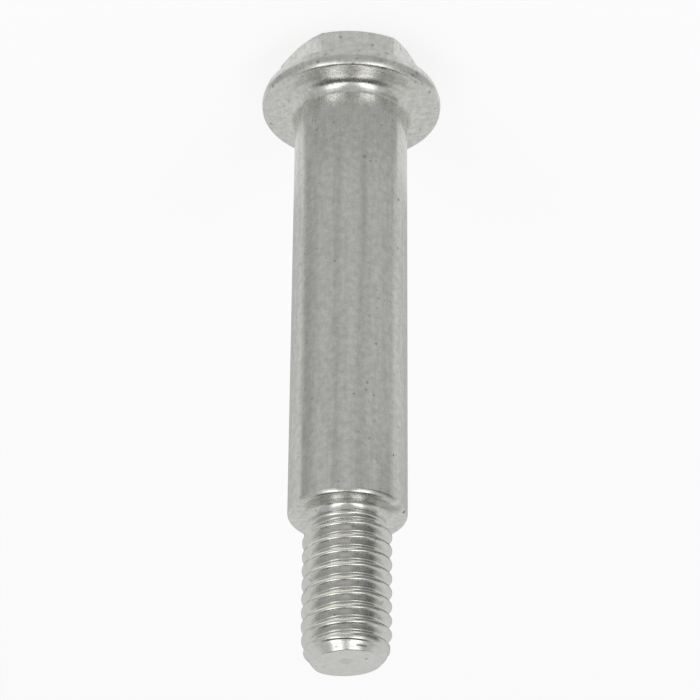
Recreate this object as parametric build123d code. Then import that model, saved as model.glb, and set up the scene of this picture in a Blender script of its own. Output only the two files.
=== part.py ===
"""Shoulder bolt in one piece: flanged hex head, plain 1/2 in shoulder and a 3/8-16 thread.

Millimetres.  The origin is the centre of the bearing face, +Z runs along the
shoulder to the threaded tip, and two of the hex flats are square to the Y axis.
The bolt is a solid of revolution (flange, shoulder, neck, thread blank) joined
to a forged hex, and the thread is a helical groove cut out of the blank.
"""
from build123d import *
import os
from math import atan2, cos, degrees, pi, radians, sin, tan

INCH = 25.4

# ---- shoulder ---------------------------------------------------------------
SHOULDER_D = 0.498 * INCH        # 1/2 in nominal, ground 0.002 in under
SHOULDER_LENGTH = 51.0           # bearing face to end face, 2 in and a little
SHOULDER_END_ROUND = 0.5         # convex round at the end face
HEAD_FILLET = 0.6                # concave fillet under the flange
HEAD_FILLET_STEPS = 3            # short cones it is turned as, within 0.02 of the arc

# ---- flange -----------------------------------------------------------------
FLANGE_D = 20.18                 # over the barrelled rim
RIM_CORNER_D = 19.80             # rim where it meets the bearing face
RIM_TOP_D = 19.70                # rim where the cone starts
RIM_WAIST = 1.12                 # height of the widest line above the bearing face
RIM_HEIGHT = 2.20
RIM_CORNER_BREAK = 0.20           # the rim's two edges are broken at 45 degrees
RIM_TOP_BREAK = 0.35
CONE_ANGLE = 17.0                # rise of the flange cone toward the hex, degrees

# ---- hex --------------------------------------------------------------------
HEX_AF = 9 / 16 * INCH           # across flats
HEAD_HEIGHT = 6.6                # bearing face to the top of the hex
HEX_TOP_D = 13.8                 # flat circle on the top
HEX_CHAMFER_ANGLE = 30.0
HEX_EDGE_ROUND = 0.25            # forged vertical edges

# ---- thread, 3/8-16 UNC -----------------------------------------------------
THREAD_D = 9.42                  # major diameter as made
PITCH = INCH / 16
FLANK = 30.0                     # half the thread angle
THREAD_DEPTH = 0.86              # crest to root
ROOT_FLAT = 0.20
STUD_LENGTH = 16.48              # end face of the shoulder to the tip
NECK_D = 7.84                    # turned down to just over the thread's root
NECK_FILLET = 0.95
NECK_LENGTH = 1.00               # end face to the foot of the run-in cone
RUN_IN = 1.10                    # length of the cone up to the major diameter
CREST_AT_FRONT = 2.53            # a crest's height over the end face at FRONT
FRONT = -83.1                    # azimuth of that crest, degrees
TIP_FACE_D = 6.80
TIP_DISH = 0.12                  # depth of the hollow in the tip face
GROOVE_START = 1.30              # height of the groove's mid-line over the end face
RUN_OUT = 0.35                   # turns over which it fades out before that
GROOVE_OVERCUT = 0.10            # how far the cutter stands outside the crest

SHOULDER_R = SHOULDER_D / 2
THREAD_R = THREAD_D / 2
NECK_R = NECK_D / 2
TIP_R = TIP_FACE_D / 2
HEX_R = HEX_AF / 2
Z_TIP = SHOULDER_LENGTH + STUD_LENGTH
Z_NECK = SHOULDER_LENGTH + NECK_LENGTH


def turned_body():
    """Everything round: flange, shoulder, neck, thread blank and tip."""
    rim_foot = (RIM_CORNER_D / 2, -RIM_CORNER_BREAK)
    rim_mid = (FLANGE_D / 2, -RIM_WAIST)
    rim_top = (RIM_TOP_D / 2, RIM_TOP_BREAK - RIM_HEIGHT)
    cone_start = (RIM_TOP_D / 2 - RIM_TOP_BREAK, -RIM_HEIGHT)
    cone_end_r = 0.6 * HEX_R
    cone_end_z = -RIM_HEIGHT - (cone_start[0] - cone_end_r) * tan(radians(CONE_ANGLE))
    turns = [pi / 2 * k / HEAD_FILLET_STEPS for k in range(HEAD_FILLET_STEPS + 1)]
    under_head = [
        (SHOULDER_R + HEAD_FILLET * (1 - sin(t)), HEAD_FILLET * (1 - cos(t))) for t in turns]
    with BuildPart() as body:
        with BuildSketch(Plane.XZ) as profile:
            with BuildLine():
                Polyline((0, cone_end_z), (cone_end_r, cone_end_z), cone_start, rim_top)
                ThreePointArc(rim_top, rim_mid, rim_foot)
                Polyline(
                    rim_foot,
                    (RIM_CORNER_D / 2 - RIM_CORNER_BREAK, 0),
                    *under_head,
                    (SHOULDER_R, SHOULDER_LENGTH),
                    (NECK_R, SHOULDER_LENGTH),
                    (NECK_R, Z_NECK),
                    (THREAD_R, Z_NECK + RUN_IN),
                    (THREAD_R, Z_TIP - (THREAD_R - TIP_R)),
                    (TIP_R, Z_TIP),
                    (0, Z_TIP - TIP_DISH),
                    (0, cone_end_z))
            make_face()
            for spot, size in (
                    ((SHOULDER_R, SHOULDER_LENGTH), SHOULDER_END_ROUND),
                    ((NECK_R, SHOULDER_LENGTH), NECK_FILLET)):
                fillet(profile.vertices().sort_by_distance((*spot, 0))[0], size)
        revolve(axis=Axis.Z)
    return body.part


def hex_head():
    """The forged hexagon, its top corners turned off at HEX_CHAMFER_ANGLE."""
    corner = HEX_R / cos(pi / 6)
    with BuildPart() as head:
        with BuildSketch(Plane.XY.offset(-HEAD_HEIGHT)):
            Polygon(*[(corner * cos(pi / 3 * k), corner * sin(pi / 3 * k)) for k in range(6)])
        extrude(amount=HEAD_HEIGHT - RIM_HEIGHT / 2)
        fillet(head.edges().filter_by(Axis.Z), HEX_EDGE_ROUND)
        rise = (corner + 1 - HEX_TOP_D / 2) * tan(radians(HEX_CHAMFER_ANGLE))
        with BuildSketch(Plane.XZ):
            Polygon(
                (0, -HEAD_HEIGHT), (HEX_TOP_D / 2, -HEAD_HEIGHT),
                (corner + 1, -HEAD_HEIGHT + rise), (corner + 1, 0), (0, 0), align=None)
        revolve(axis=Axis.Z, mode=Mode.INTERSECT)
    return head.part


def groove(path):
    """The 60 degree groove section swept along a helix that is its root line."""
    reach = THREAD_DEPTH + GROOVE_OVERCUT
    half_out = ROOT_FLAT / 2 + reach * tan(radians(FLANK))
    across = Plane(origin=path @ 0, x_dir=(1, 0, 0), z_dir=path % 0)
    with BuildSketch(across) as section:
        with BuildLine():
            Polyline(
                (0, -ROOT_FLAT / 2), (reach, -half_out),
                (reach, half_out), (0, ROOT_FLAT / 2), close=True)
        make_face()
    return sweep(section.sketch, path=path, is_frenet=True)


def thread_cutter():
    """The right-hand groove from the neck off the tip, fading out over RUN_OUT of a turn.

    The cutter's mid-line lies half a pitch from the crests, so a crest is
    CREST_AT_FRONT over the end face at the azimuth FRONT.
    """
    root_r = THREAD_R - THREAD_DEPTH
    start_z = SHOULDER_LENGTH + GROOVE_START
    start_turn = (GROOVE_START + PITCH / 2 - CREST_AT_FRONT) / PITCH
    full = groove(Helix(pitch=PITCH, height=Z_TIP + PITCH - start_z, radius=root_r))
    fade_height = RUN_OUT * PITCH
    fade = groove(Helix(
        pitch=PITCH, height=fade_height, radius=root_r, lefthand=True,
        cone_angle=degrees(atan2(NECK_R - root_r, fade_height))))
    fade = Rotation(180, 0, 0) * fade
    cutter = Part() + [full, fade]
    return Rotation(0, 0, FRONT + 360 * start_turn) * cutter.moved(Location((0, 0, start_z)))


def shoulder_bolt():
    """The blank and the hexagon joined, then the thread cut."""
    return turned_body() + hex_head() - thread_cutter()


if __name__ == "__main__":
    os.makedirs("parts", exist_ok=True)
    export_step(shoulder_bolt(), "parts/shoulder_bolt.step")
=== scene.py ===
"""Shoulder bolt: flanged hex head, plain shoulder and right-hand thread in bright zinc-plated steel.

The origin is the centre of the bearing face and +Z runs to the threaded tip, so the
bolt stands on its head.  Lengths below are in millimetres until they go into a mesh.
"""

import bpy
import numpy as np
from mathutils import Matrix, Quaternion, Vector


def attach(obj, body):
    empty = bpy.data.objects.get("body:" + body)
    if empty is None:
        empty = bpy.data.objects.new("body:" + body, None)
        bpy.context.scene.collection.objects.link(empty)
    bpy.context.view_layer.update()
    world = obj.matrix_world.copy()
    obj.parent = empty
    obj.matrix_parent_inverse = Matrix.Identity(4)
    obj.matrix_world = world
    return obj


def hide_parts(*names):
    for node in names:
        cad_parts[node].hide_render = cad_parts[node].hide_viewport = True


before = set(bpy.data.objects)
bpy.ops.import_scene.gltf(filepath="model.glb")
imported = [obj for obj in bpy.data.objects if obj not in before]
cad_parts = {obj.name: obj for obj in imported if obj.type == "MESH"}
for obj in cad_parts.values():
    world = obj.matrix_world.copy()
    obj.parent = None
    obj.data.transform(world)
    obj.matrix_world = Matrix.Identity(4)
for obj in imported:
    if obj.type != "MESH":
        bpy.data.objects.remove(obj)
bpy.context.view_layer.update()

MM = 0.001

# ---- sizes -------------------------------------------------------------------
# The solid's sizes, except that the fillets, rim, hex, neck, tip and the thread's two ends are
# nearer to how forging, turning and rolling leave them.

SHOULDER_R = 6.325
SHOULDER_L = 51.0
END_ROUND = 0.55                 # convex round at the shoulder's end face
HEAD_FILLET = 1.35               # height of the concave fillet under the head
FILLET_STRETCH = 1.26            # its width along the flange over its height

FLANGE_R = 10.09                 # over the barrelled rim
RIM_FOOT_R = 9.97                # rim where it meets the bearing face
RIM_TOP_R = 9.80                 # rim where the cone starts
RIM_WAIST = 1.12                 # from the bearing face to the widest line
RIM_HEIGHT = 2.20
RIM_SWELL = 0.05                 # how far the widest line's corner stands out before it is rounded
CONE_ANGLE = 17.0                # rise of the flange cone toward the hex, degrees

HEX_HALF = 7.06                  # half the width across flats
HEX_ROUND = 0.30                 # forged vertical edges
HEX_TOP_R = 6.85                 # flat circle on the top
CHAMFER_ANGLE = 30.0
HEAD_HEIGHT = 6.60

THREAD_R = 4.71
ROOT_R = 3.85
PITCH = 1.5875
FLANK = 30.0                     # half the thread angle
CREST_HALF = 0.20                # from a crest's middle to the start of its flanks
ROUND_ABOVE = 0.20               # rounding of a crest's edge toward the tip
ROUND_BELOW = 0.48               # and toward the head
ROOT_ROUND = 0.20
FRONT = np.radians(-83.1)        # azimuth that the thread's phase is counted from
CREST_Z = SHOULDER_L + 2.53      # a crest's height at that azimuth
FULL_DEPTH_AT = np.radians(-99)  # azimuth where the groove is first cut full, along the helix from FRONT
FADE_IN = 2.2                    # how far before that it starts to deepen, radians
CLEAR_R = 6.0                    # a radius outside the blank, where the groove comes in from

NECK_R = 3.92
NECK_L = 0.80
NECK_FILLET = 0.74
RUN_IN = 0.85                    # length of the cone up to the thread

# the blunt end, where the last turn was not rolled up full: heights and radii over the crests
TAPER_Z = 64.60
BLUNT_END = ((65.80, 4.53), (66.25, 4.49), (66.40, 4.44), (66.50, 4.36), (66.60, 4.20))
POINT_Z, POINT_R = 66.72, 4.12
RUN_OUT = 0.55                   # height over which the groove runs out below the point
RUN_OUT_GAP = 0.05               # from there to the point

TIP_Z = 67.39
TIP_R = 3.52
TIP_DISH = 0.12
TIP_ROUND = 0.14
TIP_LEAN_LEFT, TIP_LEAN_FRONT = 0.045, 0.022    # rise of the sheared end per millimetre, off level
BURR = 0.22                      # how far the sheared rim stands out at its most
BURR_AT, BURR_SPREAD = 130, 25   # azimuth of that from FRONT, and how fast it falls off, degrees
BURR_HEIGHT = 0.50               # height over which it grows out of the point

COLUMNS = 240
CROWDING = 0.7                   # share by which columns of the head crowd to the hex corners


# ---- the surface -------------------------------------------------------------

def azimuths():
    """COLUMNS equal steps of a turn, counted from FRONT and running from -180 to 180 degrees."""
    return (np.arange(COLUMNS) / COLUMNS - 0.5) * 2 * np.pi


def toward_corners(phi, share):
    """Azimuth less share/6 times the sine of six times the angle from a hex corner, which
    crowds columns there."""
    return phi - share * np.sin(6 * (phi + FRONT)) / 6


def hex_radius(phi, half, rounding):
    """Radius of a hexagon with rounded corners: half over the cosine of the angle from the
    flat's middle, and near a corner the far side of a circle of the rounding's radius."""
    q = np.abs((phi + FRONT + np.pi / 2 + np.pi / 6) % (np.pi / 3) - np.pi / 6)
    centre = (half - rounding) / np.cos(np.pi / 6)
    beta = np.pi / 6 - q
    flat = half / np.cos(q)
    inside = np.clip(rounding ** 2 - (centre * np.sin(beta)) ** 2, 0, None)
    corner = centre * np.cos(beta) + np.sqrt(inside)
    return np.where(half * np.tan(q) < centre / 2, flat, corner)


def rounded_path(corners, radii, steps=5, guard=0.05):
    """Rows of points along straight runs whose corners are arcs: at each corner the arc is
    tangent to both runs, its centre on their bisector, and a guard point stands just before
    and after it so that the runs shade flat.  corners is (corner, column, 2) of radius and height."""
    rows = [corners[0]]
    for k in range(1, len(corners) - 1):
        here = corners[k]
        back = corners[k - 1] - here
        on = corners[k + 1] - here
        back = back / np.linalg.norm(back, axis=1, keepdims=True)
        on = on / np.linalg.norm(on, axis=1, keepdims=True)
        half = np.arccos(np.clip((back * on).sum(1), -1, 1)) / 2
        reach = (radii[k - 1] / np.tan(half))[:, None]
        bisector = back + on
        bisector = bisector / np.linalg.norm(bisector, axis=1, keepdims=True)
        centre = here + bisector * (radii[k - 1] / np.sin(half))[:, None]
        first, last = here + back * reach, here + on * reach
        rows.append(first + back * guard)
        a, b = first - centre, last - centre
        turn = np.arccos(np.clip((a * b).sum(1) / radii[k - 1] ** 2, -1, 1))[:, None]
        for t in np.linspace(0, 1, steps + 1):
            rows.append(centre + (a * np.sin((1 - t) * turn) + b * np.sin(t * turn)) / np.sin(turn))
        rows.append(last + on * guard)
    rows.append(corners[-1])
    return np.array(rows)


def soft_min(a, b, k):
    """The smaller of two values, less a parabola where they are within k, which rounds the edge."""
    h = np.clip(k - np.abs(a - b), 0, None) / k
    return np.minimum(a, b) - h * h * k / 4


def soft_max(a, b, k):
    """The larger of two values, rounded in the same way."""
    return -soft_min(-a, -b, k)


def smooth_step(x):
    """0 below 0, 1 above 1, and three x squared less two x cubed between."""
    x = np.clip(x, 0, 1)
    return x * x * (3 - 2 * x)


def thread_radius(phi, z):
    """Radius of a right-hand 60 degree thread at azimuth phi and height z.

    above is the height over the nearest crest, which climbs one pitch a turn.  The radius is
    the blank's out to the crest's half width, then falls along the flank at 1/tan 30 per
    millimetre to the root, and the edges between are rounded.  unwrapped is the azimuth
    counted on from turn to turn: before FULL_DEPTH_AT the groove's surface moves outward, to
    clear of the blank, and near the point it goes back to the blank's.
    """
    turns = (z - CREST_Z) / PITCH - phi / (2 * np.pi)
    above = ((turns + 0.5) % 1 - 0.5) * PITCH
    flank = THREAD_R - (np.abs(above) - CREST_HALF) / np.tan(np.radians(FLANK))
    r = soft_min(blank_radius(z), flank, np.where(above > 0, ROUND_ABOVE, ROUND_BELOW))
    r = soft_max(r, ROOT_R, ROOT_ROUND)
    unwrapped = phi + 2 * np.pi * np.floor(turns + 1)
    depth = smooth_step((unwrapped - FULL_DEPTH_AT + FADE_IN) / FADE_IN)
    r = np.where(depth < 1, CLEAR_R + (r - CLEAR_R) * depth, r)
    cut = smooth_step((POINT_Z - RUN_OUT_GAP - z) / RUN_OUT)
    return blank_radius(z) * (1 - cut) + r * cut


def blank_radius(z):
    """Radius over the crests, read along straight runs: neck, run-in cone, major diameter,
    the blunt end, and the point, which falls on at about 45 degrees."""
    neck_end = SHOULDER_L + NECK_L
    outline = [
        (SHOULDER_L, NECK_R),
        (neck_end, NECK_R),
        (neck_end + RUN_IN, THREAD_R),
        (TAPER_Z, THREAD_R),
        *BLUNT_END,
        (POINT_Z, POINT_R),
        (TIP_Z + 1, TIP_R - 0.95)]
    heights, radii = zip(*outline)
    return np.interp(z, heights, radii)


def burr(phi):
    """How far the sheared rim stands out: a bell curve over azimuth, highest at the back on the left."""
    return BURR * np.exp(-((np.degrees(phi) - BURR_AT) / BURR_SPREAD) ** 2)


def tip_rim(phi):
    """Radius and height of the rim, where a 45 degree point meets the leaning plane of the end:
    with k the rise per millimetre at this azimuth, the radius is TIP_R over 1 + k, plus the burr."""
    k = TIP_LEAN_LEFT * np.sin(phi) + TIP_LEAN_FRONT * np.cos(phi)
    r = TIP_R / (1 + k)
    return r + burr(phi), TIP_Z + k * r


def head_rows(phi):
    """Rows from the middle of the hex top to the neck: a profile of corners, each of a radius,
    a height and its rounding, where the hexagon's radius changes with azimuth.  In the fillet
    under the head the distance from the shoulder is then stretched."""
    hexagon = hex_radius(phi, HEX_HALF, HEX_ROUND)
    chamfer_rise = np.clip(hexagon - HEX_TOP_R, 0.05, None) * np.tan(np.radians(CHAMFER_ANGLE))
    cone_rise = (RIM_TOP_R - hexagon) * np.tan(np.radians(CONE_ANGLE))
    profile = [
        (0.8 * HEX_TOP_R, -HEAD_HEIGHT, 0),
        (HEX_TOP_R, -HEAD_HEIGHT, 0.10),
        (hexagon, chamfer_rise - HEAD_HEIGHT, 0.10),
        (hexagon, -RIM_HEIGHT - cone_rise, 0.40),
        (RIM_TOP_R, -RIM_HEIGHT, 0.25),
        (FLANGE_R + RIM_SWELL, -RIM_WAIST, 1.15),
        (RIM_FOOT_R, 0, 0.60),
        (SHOULDER_R, 0, HEAD_FILLET),
        (SHOULDER_R, SHOULDER_L, END_ROUND),
        (NECK_R, SHOULDER_L, NECK_FILLET),
        (NECK_R, SHOULDER_L + NECK_L + 0.02, 0)]
    one = np.ones(COLUMNS)
    corners = np.array([[r * one, z * one] for r, z, rounding in profile]).transpose(0, 2, 1)
    rows = rounded_path(corners, [rounding * one for r, z, rounding in profile[1:-1]])
    out, z = rows[:, :, 0] - SHOULDER_R, rows[:, :, 1]
    fillet = (z > -0.01) & (z < 2) & (out > 0) & (out < HEAD_FILLET + 0.1)
    rows[:, :, 0] = np.where(fillet, SHOULDER_R + FILLET_STRETCH * out, rows[:, :, 0])
    return rows


def stud_rows(phi):
    """Rows from the neck to the rim of the tip.  Heights step through the thread's section,
    closer together at its edges, and climb with it round the bolt, except over the last
    sixth of a turn at the back, where they come down again, and toward the two ends, where
    they lie level.  The burr grows out of the point toward the rim."""
    section = np.array([0, .09, .15, .185, .215, .25, .31, .43, .56, .63, .67, .71, .794])
    one_pitch = np.concatenate([section[:-1], PITCH - section[:0:-1]])
    start = CREST_Z - PITCH
    heights = np.concatenate([start + PITCH * k + one_pitch for k in range(10)])
    low, high = SHOULDER_L + NECK_L + 0.08, POINT_Z - 0.30
    heights = heights[(heights > low) & (heights < high)]
    follow = np.interp(phi, np.radians([-180, -150, 150, 180]), [0, -150 / 360, 150 / 360, 0]) * PITCH
    weight = smooth_step((heights - low) / 1.6) * smooth_step((high - heights) / 1.6)
    z = heights[:, None] + weight[:, None] * follow[None, :]
    share = np.concatenate([np.linspace(0, 0.28, 9), np.linspace(0.30, 1, 12)])
    last = tip_rim(phi)[1] - 0.14
    z = np.concatenate([z, high + 0.04 + share[:, None] * (last - high - 0.04)[None, :]])
    r = blank_radius(z) + burr(phi) * smooth_step((z - POINT_Z - 0.05) / BURR_HEIGHT)
    return np.stack([r, z], axis=2)


def tip_rows(phi):
    """Rows over the rounded rim of the tip and along straight runs down into its shallow hollow."""
    r, z = tip_rim(phi)
    corners = np.array([
        [r + 0.12, z - 0.12],
        [r, z],
        [0.25 * r, TIP_Z - TIP_DISH + 0.25 * (z - TIP_Z)],
    ]).transpose(0, 2, 1)
    one = np.ones(COLUMNS)
    return rounded_path(corners, [TIP_ROUND * one], steps=4, guard=0.02)[1:]


def bolt_points():
    """All rows as x, y, z: the radius times the azimuth's cosine and sine.  The head's crowding
    of columns fades out over the flange, and the thread is cut where it is below the blank."""
    phi = azimuths()
    head_phi = toward_corners(phi, CROWDING)
    head = head_rows(head_phi)
    level = smooth_step((head[:, :, 1].max(axis=1) + 2.0) / 2.0)[:, None]
    head_phi = head_phi[None, :] * (1 - level) + phi[None, :] * level
    rows = np.concatenate([head, stud_rows(phi), tip_rows(phi)])
    angle = np.concatenate([head_phi, np.repeat(phi[None, :], len(rows) - len(head), 0)])
    r, z = rows[:, :, 0], rows[:, :, 1]
    threaded = (z > SHOULDER_L + 0.3) & (z < POINT_Z + 0.05)
    r = np.where(threaded, soft_min(r, thread_radius(angle, z), 0.03), r)
    x, y = r * np.cos(angle + FRONT), r * np.sin(angle + FRONT)
    return np.stack([x, y, z], axis=2)


def closed_surface(name, grid, low_pole, high_pole):
    """A mesh of quads between neighbouring rows and columns, the columns joined round, with a
    fan to a pole at each end.  Row i, column j is vertex i * columns + j."""
    n_rows, n_cols = grid.shape[:2]
    index = np.arange(n_rows * n_cols).reshape(n_rows, n_cols)
    right = np.roll(index, -1, axis=1)
    quads = np.stack([index[:-1], right[:-1], right[1:], index[1:]], axis=-1).reshape(-1, 4)
    low, high = n_rows * n_cols, n_rows * n_cols + 1
    fan_low = np.stack([np.full(n_cols, low), right[0], index[0]], axis=-1)
    fan_high = np.stack([index[-1], right[-1], np.full(n_cols, high)], axis=-1)
    points = np.concatenate([grid.reshape(-1, 3), [low_pole, high_pole]]) * MM
    mesh = bpy.data.meshes.new(name)
    mesh.from_pydata(points, [], quads.tolist() + fan_low.tolist() + fan_high.tolist())
    mesh.polygons.foreach_set("use_smooth", np.ones(len(mesh.polygons), dtype=bool))
    mesh.update()
    mesh.validate()
    piece = bpy.data.objects.new(name, mesh)
    bpy.context.collection.objects.link(piece)
    return piece


# ---- finishes ----------------------------------------------------------------

def linear(hex_colour):
    """An sRGB hex colour as linear red, green, blue and alpha."""
    parts = [int(hex_colour[i:i + 2], 16) / 255 for i in (1, 3, 5)]
    return tuple(c / 12.92 if c <= 0.04045 else ((c + 0.055) / 1.055) ** 2.4 for c in parts) + (1,)


def add(tree, kind, values=(), links=(), **properties):
    """Adds one node to a tree: properties by name, socket values and links by socket."""
    made = tree.nodes.new(kind)
    for name, value in properties.items():
        setattr(made, name, value)
    for socket, value in dict(values).items():
        made.inputs[socket].default_value = value
    for socket, output in dict(links).items():
        tree.links.new(output, made.inputs[socket])
    return made


# stains: azimuth from FRONT in degrees, radius, height, size, and how dark from 0 to 1
STAINS = [
    (0, 0.20, 67.28, 0.95, 0.16),                   # a smudge in the hollow of the tip
    (-77, 6.12, 50.95, 0.32, 0.80),                 # a nick in the edge of the shoulder's end
    (-65, 5.20, 51.00, 1.20, 0.35),                 # a darker patch on the end face
    (-50, SHOULDER_R, 45.6, 0.18, 0.80),            # three specks on the shoulder
    (-58, SHOULDER_R, 13.6, 0.22, 0.80),
    (-57, SHOULDER_R, 19.9, 0.18, 0.80)]
# and a nick along the point, as spots that run into each other
STAINS += [
    (-18 - 2.4 * k, 3.87 + 0.005 * k, 66.99 - 0.005 * k, 0.19 - 0.01 * k, 0.75) for k in range(7)]


def zinc_plated_steel():
    """Clear zinc plate over forged and turned steel: a pale grey satin metal.

    The plate is a little cloudy, so its colour and gloss drift over half a millimetre or so.
    The forged head is rougher and pitted, the turned shoulder smooth with faint marks along
    it, and the rolled thread brightest.
    """
    material = bpy.data.materials.new("zinc_plated_steel")
    material.use_nodes = True
    tree = material.node_tree
    shader = tree.nodes["Principled BSDF"]
    place = add(tree, "ShaderNodeTexCoord").outputs["Object"]
    height = add(tree, "ShaderNodeSeparateXYZ", links={0: place}).outputs["Z"]
    forged = add(tree, "ShaderNodeMapRange", {
        "From Min": 0.05 * MM, "From Max": -0.05 * MM}, {"Value": height}).outputs[0]
    rolled = add(tree, "ShaderNodeMapRange", {
        "From Min": 51.2 * MM, "From Max": 52.2 * MM, "To Max": 0.55}, {"Value": height}).outputs[0]

    # clouds in the plate 0.7 mm across
    cloud = add(tree, "ShaderNodeTexNoise", {
        "Scale": 1 / (0.7 * MM), "Detail": 4, "Roughness": 0.65}, {"Vector": place}).outputs[0]
    colour = add(tree, "ShaderNodeValToRGB", links={0: cloud})
    ramp = colour.color_ramp
    ramp.elements[0].position, ramp.elements[0].color = 0.34, linear("#cfcfca")
    ramp.elements[1].position, ramp.elements[1].color = 0.66, linear("#e6e6e2")
    colour = colour.outputs[0]

    # faint marks along the bolt, 0.5 mm wide and 12 mm long
    along = add(tree, "ShaderNodeVectorMath", {
        1: (1 / (0.5 * MM), 1 / (0.5 * MM), 1 / (12 * MM))}, {0: place}, operation="MULTIPLY").outputs[0]
    mark = add(tree, "ShaderNodeTexNoise", {"Scale": 1.0, "Detail": 3}, {"Vector": along}).outputs[0]
    mark = add(tree, "ShaderNodeMapRange", {
        "From Min": 0.45, "From Max": 0.75, "To Max": 0.35}, {"Value": mark}).outputs[0]
    colour = add(tree, "ShaderNodeMix", {"B": linear("#b4b5b6")}, {
        "Factor": mark, "A": colour}, data_type="RGBA").outputs["Result"]

    # the rolled thread is burnished: half its colour is this even, paler one
    colour = add(tree, "ShaderNodeMix", {"B": linear("#e0e1dd")}, {
        "Factor": rolled, "A": colour}, data_type="RGBA").outputs["Result"]

    # soft-edged pits about 0.9 mm apart, in patches, up to 0.3 mm from middle to edge, and
    # wider on the forged head
    spot = add(tree, "ShaderNodeTexVoronoi", {"Scale": 1 / (0.9 * MM)}, {"Vector": place}).outputs["Distance"]
    patch = add(tree, "ShaderNodeTexNoise", {
        "Scale": 1 / (2.5 * MM), "Detail": 2}, {"Vector": place}).outputs[0]
    reach = add(tree, "ShaderNodeMapRange", {
        "From Min": 0.44, "From Max": 0.76, "To Max": 0.36}, {"Value": patch}).outputs[0]
    wider = add(tree, "ShaderNodeMath", {1: 0.14}, {0: forged, 2: reach}, operation="MULTIPLY_ADD").outputs[0]
    pit = add(tree, "ShaderNodeMapRange", {"From Min": 0.0, "To Min": 0.8, "To Max": 0.0}, {
        "Value": spot, "From Max": wider}).outputs[0]
    colour = add(tree, "ShaderNodeMix", {"B": linear("#7e7d76")}, {
        "Factor": pit, "A": colour}, data_type="RGBA").outputs["Result"]

    # nicks and stains, each a soft-edged dark spot round its own point
    for azimuth, radius, z, size, dark in STAINS:
        turn = np.radians(azimuth) + FRONT
        centre = (radius * np.cos(turn) * MM, radius * np.sin(turn) * MM, z * MM)
        away = add(tree, "ShaderNodeVectorMath", {
            1: centre}, {0: place}, operation="DISTANCE").outputs["Value"]
        spot = add(tree, "ShaderNodeMapRange", {
            "From Min": size * MM, "From Max": 0.3 * size * MM, "To Max": dark}, {"Value": away}).outputs[0]
        colour = add(tree, "ShaderNodeMix", {"B": linear("#55554d")}, {
            "Factor": spot, "A": colour}, data_type="RGBA").outputs["Result"]
    tree.links.new(colour, shader.inputs["Base Color"])

    # satin, duller on the forging
    gloss = add(tree, "ShaderNodeTexNoise", {
        "Scale": 1 / (0.4 * MM), "Detail": 3}, {"Vector": place}).outputs[0]
    rough = add(tree, "ShaderNodeMapRange", {
        "From Min": 0.3, "From Max": 0.7, "To Min": 0.18, "To Max": 0.30}, {"Value": gloss}).outputs[0]
    rough = add(tree, "ShaderNodeMath", {1: 0.06}, {0: forged, 2: rough}, operation="MULTIPLY_ADD").outputs[0]
    tree.links.new(rough, shader.inputs["Roughness"])

    # the skin: a fine grain, four times as deep on the forging
    grain = add(tree, "ShaderNodeTexNoise", {
        "Scale": 1 / (0.35 * MM), "Detail": 3, "Roughness": 0.6}, {"Vector": place}).outputs[0]
    deep = add(tree, "ShaderNodeMapRange", {"To Min": 0.25, "To Max": 1.0}, {"Value": forged}).outputs[0]
    relief = add(tree, "ShaderNodeMath", links={0: grain, 1: deep}, operation="MULTIPLY").outputs[0]
    bump = add(tree, "ShaderNodeBump", {
        "Strength": 1.0, "Distance": 0.02 * MM}, {"Height": relief}).outputs[0]
    tree.links.new(bump, shader.inputs["Normal"])
    shader.inputs["Metallic"].default_value = 1.0
    return material


# ---- the bolt ----------------------------------------------------------------

bolt = closed_surface(
    "shoulder_bolt_plated", bolt_points(), (0, 0, -HEAD_HEIGHT), (0, 0, TIP_Z - TIP_DISH))
bolt.data.materials.append(zinc_plated_steel())
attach(bolt, "root")
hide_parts("shoulder_bolt")


# ---- floor, light and camera -------------------------------------------------

SOFTBOX_ELEVATION = 46.0         # degrees
SOFTBOX_DISTANCE = 600.0
SOFTBOX_WIDTH, SOFTBOX_HEIGHT = 255.0, 460.0
SOFTBOX_POWER = 0.50             # watts, small because the scene is
TENT_R = 700.0
COLLAR_INNER_R = 6.6
COLLAR_SLOPE = 28.0              # degrees below level
WARM = (1.04, 1.01, 0.88)        # tint of the collar's painted warm reflection

# darker strips painted into the board's reflection in front: azimuth of the middle from FRONT, half width,
# both in degrees, and depth.  Two narrow ones either side of the view, and a broad one at each side.
BOARD_STRIPS = ((24, 12, 0.17), (-24, 12, 0.17), (87, 33, 0.22), (-87, 33, 0.065))
FRONT_MIDDLE = 1.25              # azimuth of the middle of the board's grey side, degrees

CAMERA_PLACE = (28.362, -278.500, 188.379)
CAMERA_AZIMUTH, CAMERA_ELEVATION, CAMERA_ROLL = -84.1632, 29.3933, -179.4783    # degrees


def seen_directly(tree):
    """One where the camera, a reflection or a view through glass looks, and zero for other light."""
    path = add(tree, "ShaderNodeLightPath")
    either = add(tree, "ShaderNodeMath", operation="MAXIMUM", links={
        0: path.outputs["Is Camera Ray"], 1: path.outputs["Is Glossy Ray"]})
    return add(tree, "ShaderNodeMath", operation="MAXIMUM", links={
        0: either.outputs[0], 1: path.outputs["Is Transmission Ray"]}).outputs[0]


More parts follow.
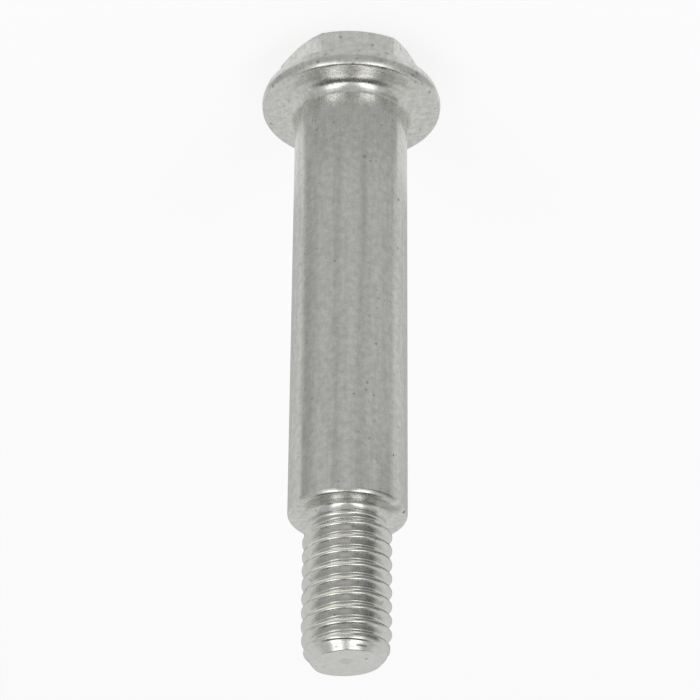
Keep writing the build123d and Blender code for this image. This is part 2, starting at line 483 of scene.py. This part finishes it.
def pale_floor():
    """A white floor under the head, which still takes the bolt's shadow."""
    mesh = bpy.data.meshes.new("floor")
    half, z = 3000 * MM, -HEAD_HEIGHT * MM
    mesh.from_pydata(
        [(-half, -half, z), (half, -half, z), (half, half, z), (-half, half, z)], [], [(0, 1, 2, 3)])
    floor = bpy.data.objects.new("floor", mesh)
    bpy.context.collection.objects.link(floor)
    material = bpy.data.materials.new("white_paper")
    material.use_nodes = True
    tree = material.node_tree
    tree.nodes.clear()
    paper = add(tree, "ShaderNodeBsdfDiffuse", {"Color": linear("#e8e8e6")})
    lit = add(tree, "ShaderNodeBsdfDiffuse", {"Color": linear("#898989")})
    glow = add(tree, "ShaderNodeEmission", {"Color": linear("#ffffff"), "Strength": 0.78})
    white = add(tree, "ShaderNodeAddShader", links={0: lit.outputs[0], 1: glow.outputs[0]})
    both = add(tree, "ShaderNodeMixShader", links={
        0: seen_directly(tree), 1: paper.outputs[0], 2: white.outputs[0]})
    add(tree, "ShaderNodeOutputMaterial", links={"Surface": both.outputs[0]})
    mesh.materials.append(material)


def white_room():
    """A white world: full white to the eye and in the metal, and softer as light."""
    world = bpy.data.worlds.new("white_room")
    bpy.context.scene.world = world
    world.use_nodes = True
    tree = world.node_tree
    background = tree.nodes["Background"]
    background.inputs["Color"].default_value = linear("#ffffff")
    level = add(tree, "ShaderNodeMapRange", {"To Min": 0.6, "To Max": 1.0}, {"Value": seen_directly(tree)})
    tree.links.new(level.outputs[0], background.inputs["Strength"])


def softbox(name, azimuth):
    """An area lamp at an azimuth off FRONT, facing a point halfway up the bolt."""
    data = bpy.data.lights.new(name, "AREA")
    data.shape, data.energy = "RECTANGLE", SOFTBOX_POWER
    data.size, data.size_y = SOFTBOX_WIDTH * MM, SOFTBOX_HEIGHT * MM
    lamp = bpy.data.objects.new(name, data)
    bpy.context.collection.objects.link(lamp)
    turn, rise = FRONT + np.radians(azimuth), np.radians(SOFTBOX_ELEVATION)
    away = Vector((np.cos(turn) * np.cos(rise), np.sin(turn) * np.cos(rise), np.sin(rise)))
    lamp.location = away * SOFTBOX_DISTANCE * MM + Vector((0, 0, 30 * MM))
    lamp.rotation_euler = away.to_track_quat("Z", "Y").to_euler()
    lamp.visible_camera = False


def strip(x, middle, half_width):
    """One at the middle, falling evenly to zero at the half width on either side."""
    return np.clip(1 - np.abs(x - middle) / half_width, 0, None)


def board_tone(angle, radius):
    """Painted reflection: grey of the glowing board on the floor, which only reflections see and the shoulder
    mirrors.

    On the side of FRONT it is an even grey less the BOARD_STRIPS.  Behind, it rises from 0.62 at
    the back by 0.30 times the power 1.35 of the angle from there over 80 degrees.  Within 36 mm
    of the axis it is pale beside the head and darker from 20 mm on, and the sides are paler out
    to 17 mm.  Far out on the right, beyond the distance edge, it is a quarter as bright.  All of
    it is then taken times 0.80.
    """
    angle = np.degrees(angle)
    aside = np.abs(angle - FRONT_MIDDLE)
    shade = sum(depth * strip(angle, middle, width) for middle, width, depth in BOARD_STRIPS)
    front_grey = 0.705 - shade
    back_grey = 0.62 + 0.30 * np.clip((180 - np.abs(angle)) / 80, 0, None) ** 1.35
    behind = np.clip((aside - 95) / 4.5, 0, 1)
    grey = front_grey + (back_grey - front_grey) * behind

    sides = smooth_step((np.abs(angle) - 35) / 15) * smooth_step((17 - radius) / 4)
    beside_head = 0.81 - 0.26 * smooth_step((radius - 13) / 7) + 0.27 * sides
    front = smooth_step((101 - np.abs(angle)) / 8)
    beside_head = beside_head * front + (1 - front)
    near = smooth_step((36 - radius) / 10)

    edge = 178 - 58 * smooth_step((-45 - angle) / 15)
    right = smooth_step((-16 - angle) / 8) * smooth_step((94 + angle) / 8)
    far_right = 0.75 * right * smooth_step((radius - edge) / 30)
    return 0.80 * (grey * (1 - near) + beside_head * near) * (1 - far_right)


def tent_tone(angle, rise):
    """Painted reflection: grey of the glowing tent over the bolt, pale behind, darker on the side of FRONT,
    darker still overhead, a little darker low on the right, and paler low down under each softbox."""
    angle, rise = np.degrees(angle), np.degrees(rise)
    right = smooth_step((-50 - angle) / 8) * smooth_step((26 - rise) / 6)
    angle = np.abs(angle)
    front = smooth_step((101 - angle) / 8)
    below_lamp = smooth_step((angle - 16) / 8) * smooth_step((52 - angle) / 8) * smooth_step((32 - rise) / 6)
    overhead = smooth_step((rise - 64 + 8 * smooth_step((angle - 48) / 12)) / 8)
    front_tone = 0.52 + 0.38 * below_lamp - 0.43 * overhead - 0.15 * right
    back_tone = 0.72 - 0.62 * smooth_step((rise - 54) / 12)
    return back_tone + (front_tone - back_tone) * front


def glowing_sheet(name, points, tone, tint=(1, 1, 1), one_sided=False):
    """A grid of quads that reflections alone see, each point glowing with its own grey times
    the tint, and through which they pass from behind if it is one-sided."""
    index = np.arange(tone.size).reshape(tone.shape)
    quads = np.stack([index[:-1, :-1], index[1:, :-1], index[1:, 1:], index[:-1, 1:]], -1)
    mesh = bpy.data.meshes.new(name)
    mesh.from_pydata(points.reshape(-1, 3) * MM, [], quads.reshape(-1, 4).tolist())
    grey = tone.ravel()
    shade = mesh.attributes.new("tone", "FLOAT_COLOR", "POINT")
    shade.data.foreach_set("color", np.stack([grey * t for t in tint] + [np.ones_like(grey)], -1).ravel())
    sheet = bpy.data.objects.new(name, mesh)
    bpy.context.collection.objects.link(sheet)
    material = bpy.data.materials.new(name)
    material.use_nodes = True
    tree = material.node_tree
    tree.nodes.clear()
    shade = add(tree, "ShaderNodeAttribute", attribute_name="tone")
    glow = add(tree, "ShaderNodeEmission", links={"Color": shade.outputs["Color"]})
    surface = glow.outputs[0]
    if one_sided:
        behind = add(tree, "ShaderNodeNewGeometry").outputs["Backfacing"]
        clear = add(tree, "ShaderNodeBsdfTransparent").outputs[0]
        surface = add(tree, "ShaderNodeMixShader", links={0: behind, 1: surface, 2: clear}).outputs[0]
    add(tree, "ShaderNodeOutputMaterial", links={"Surface": surface})
    mesh.materials.append(material)
    sheet.visible_camera = sheet.visible_shadow = sheet.visible_diffuse = False


def painted_reflection_board():
    """A round glowing board on the floor, from beside the head out to the tent, which only reflections see: a
    painted reflection.
    """
    angle = np.radians(np.linspace(-180, 180, 361))
    radius = np.concatenate([np.linspace(7, 40, 23), np.geomspace(50, TENT_R + 5, 26)])
    a, r = np.meshgrid(angle, radius)
    points = np.stack([r * np.cos(a + FRONT), r * np.sin(a + FRONT), 0 * r - HEAD_HEIGHT + 0.05], -1)
    glowing_sheet("painted_reflection_board", points, board_tone(a, r))


def painted_reflection_tent():
    """A glowing dome round the bolt, outside the softboxes, which only reflections see: a painted reflection
    of a tent.
    """
    angle = np.radians(np.linspace(-180, 180, 361))
    rise = np.radians(np.linspace(0, 89.9, 46))
    a, e = np.meshgrid(angle, rise)
    points = TENT_R * np.stack([np.cos(a + FRONT) * np.cos(e), np.sin(a + FRONT) * np.cos(e), np.sin(e)], -1)
    points[..., 2] -= HEAD_HEIGHT
    glowing_sheet("painted_reflection_tent", points, tent_tone(a, e))


def painted_reflection_collar():
    """A glowing cone that falls away from the shoulder's end at nearly the slope of the view, so that on the
    stud mostly the undersides of the thread's crests mirror it: a painted warm, pale reflection to the left
    of FRONT and a painted dark reflection to the right.  It has no underside."""
    angle = np.radians(np.linspace(-180, 180, 181))
    a, r = np.meshgrid(angle, np.geomspace(COLLAR_INNER_R, 60.0, 12))
    z = SHOULDER_L - 0.05 - (r - COLLAR_INNER_R) * np.tan(np.radians(COLLAR_SLOPE))
    points = np.stack([r * np.cos(a + FRONT), r * np.sin(a + FRONT), z], -1)
    degrees = np.degrees(a)
    left = smooth_step((degrees + 26) / 14) * smooth_step((125 - degrees) / 20)
    glowing_sheet("painted_reflection_collar", points, 0.17 + 0.80 * left, WARM, one_sided=True)


def camera():
    """The bolt is seen from beyond its tip, its head farthest away and at the top: the camera
    looks back along CAMERA_AZIMUTH and CAMERA_ELEVATION, turned about that line by the roll."""
    data = bpy.data.cameras.new("camera")
    data.sensor_width, data.lens = 36.0, 152.70
    data.clip_start, data.clip_end = 0.01, 10
    view = bpy.data.objects.new("camera", data)
    bpy.context.collection.objects.link(view)
    turn, rise, roll = np.radians((CAMERA_AZIMUTH, CAMERA_ELEVATION, CAMERA_ROLL))
    back = Vector((np.cos(turn) * np.cos(rise), np.sin(turn) * np.cos(rise), np.sin(rise)))
    rolled = back.to_track_quat("Z", "Y") @ Quaternion((0, 0, 1), roll)
    view.matrix_world = Matrix.LocRotScale(Vector(CAMERA_PLACE) * MM, rolled, None)
    bpy.context.scene.camera = view


pale_floor()
painted_reflection_board()
painted_reflection_tent()
painted_reflection_collar()
white_room()
softbox("softbox_left", 35)
softbox("softbox_right", -35)
camera()

bpy.context.scene.view_settings.view_transform = "Standard"
